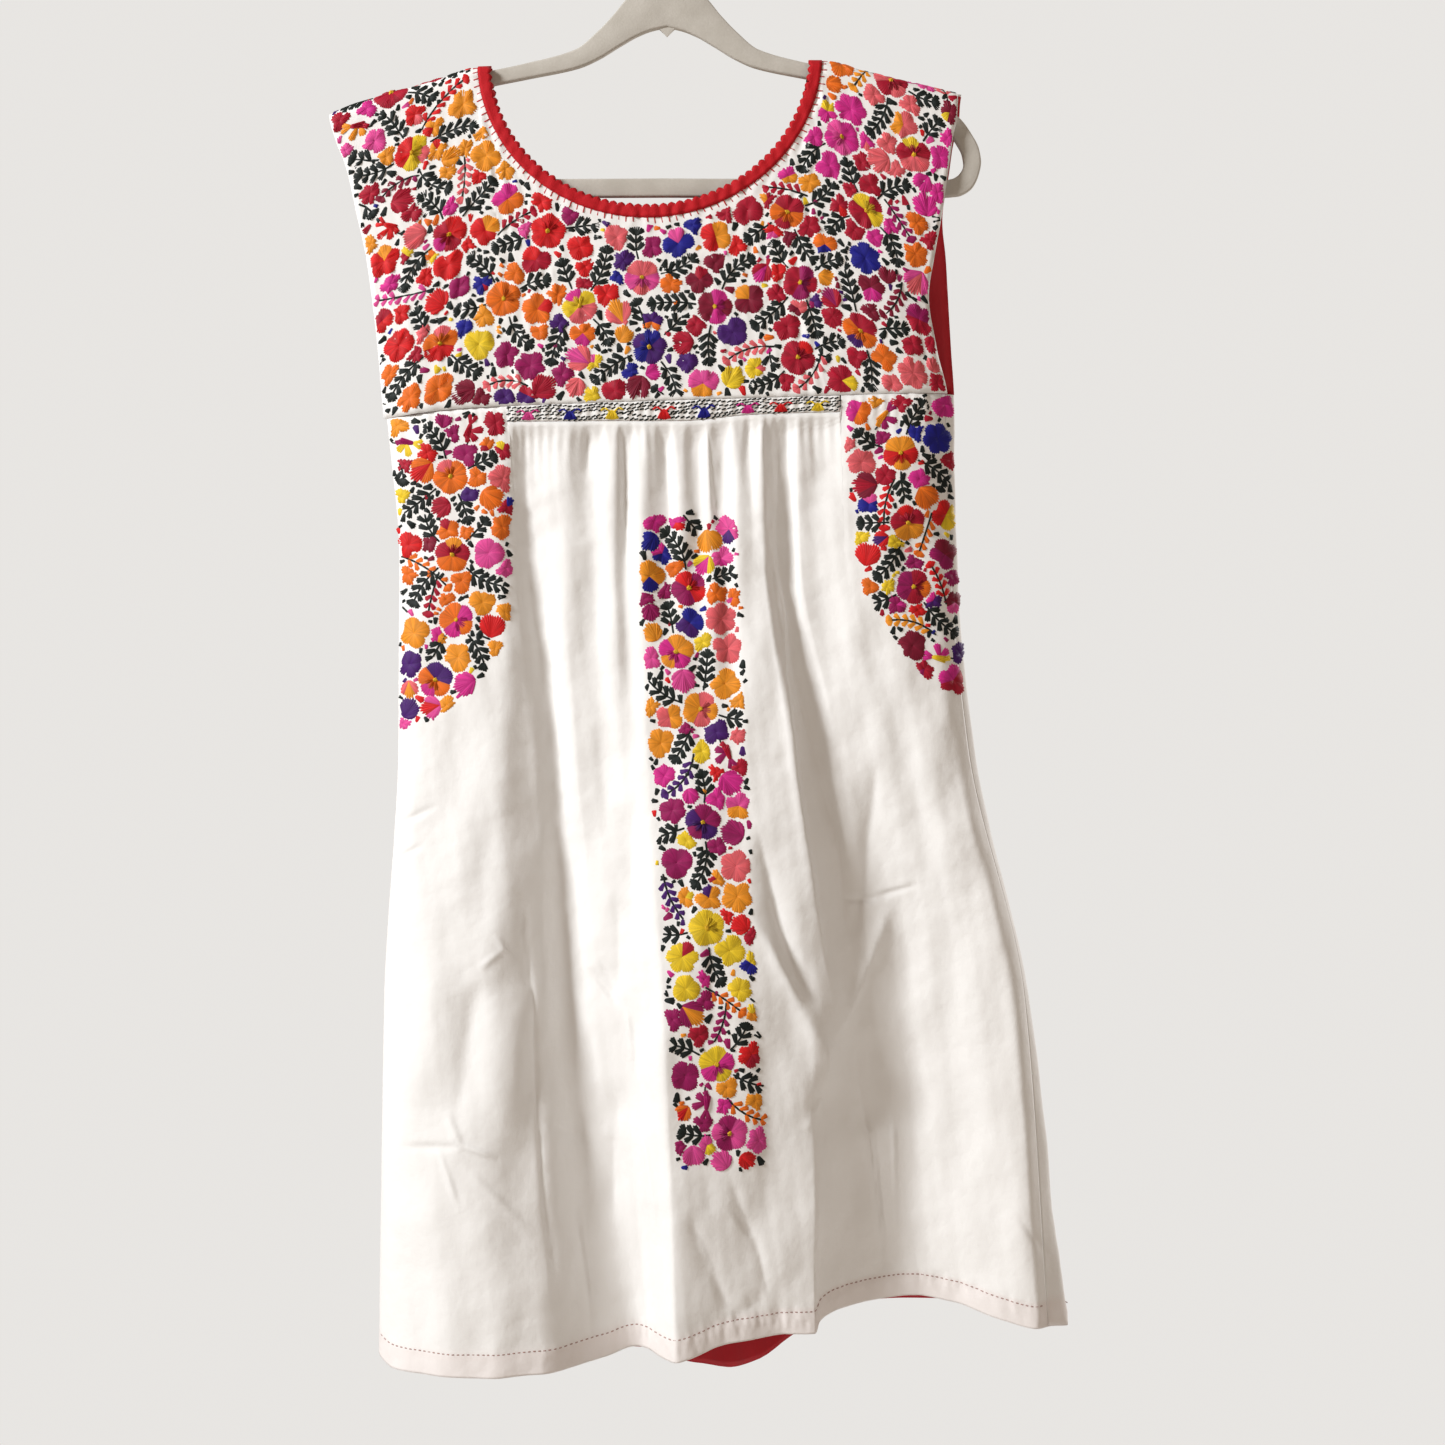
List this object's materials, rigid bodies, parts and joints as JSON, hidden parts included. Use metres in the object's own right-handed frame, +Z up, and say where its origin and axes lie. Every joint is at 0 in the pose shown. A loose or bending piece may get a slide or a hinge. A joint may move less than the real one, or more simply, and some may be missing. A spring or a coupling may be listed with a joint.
{
  "type": "embroidered shift dress on a clothes hanger",
  "caption": "Knee-length shift dress with a flower-embroidered yoke, smocked band and gathered skirt, hanging open and still on a flat clothes hanger",
  "frame": {"origin": "the inner top of the hanger's hook, where it hangs on a rod, nail or peg", "axes": "+X to the viewer's right, -Y out of the dress's front, +Z up"},
  "size_m": [0.52, 0.099, 1.0645],
  "materials": {
    "white_cotton": "soft plain-woven cotton",
    "embroidered_cotton": "cotton covered in satin-stitch flowers of many colours",
    "red_satin": "thin glossy satin lining",
    "red_crochet": "crocheted cotton yarn",
    "flocked_plastic": "flocked, velvety",
    "chromed_wire": "polished"
  },
  "bodies": {
    "root": {"hanger_frame": "flocked_plastic", "hanger_hook": "chromed_wire", "yoke_front": "embroidered_cotton", "yoke_back": "embroidered_cotton", "lining_yoke": "red_satin", "neck_trim": "red_crochet", "smock_band": "white_cotton", "skirt_front": "white_cotton", "skirt_back": "white_cotton", "lining_skirt": "red_satin"}
  },
  "joints": []
}
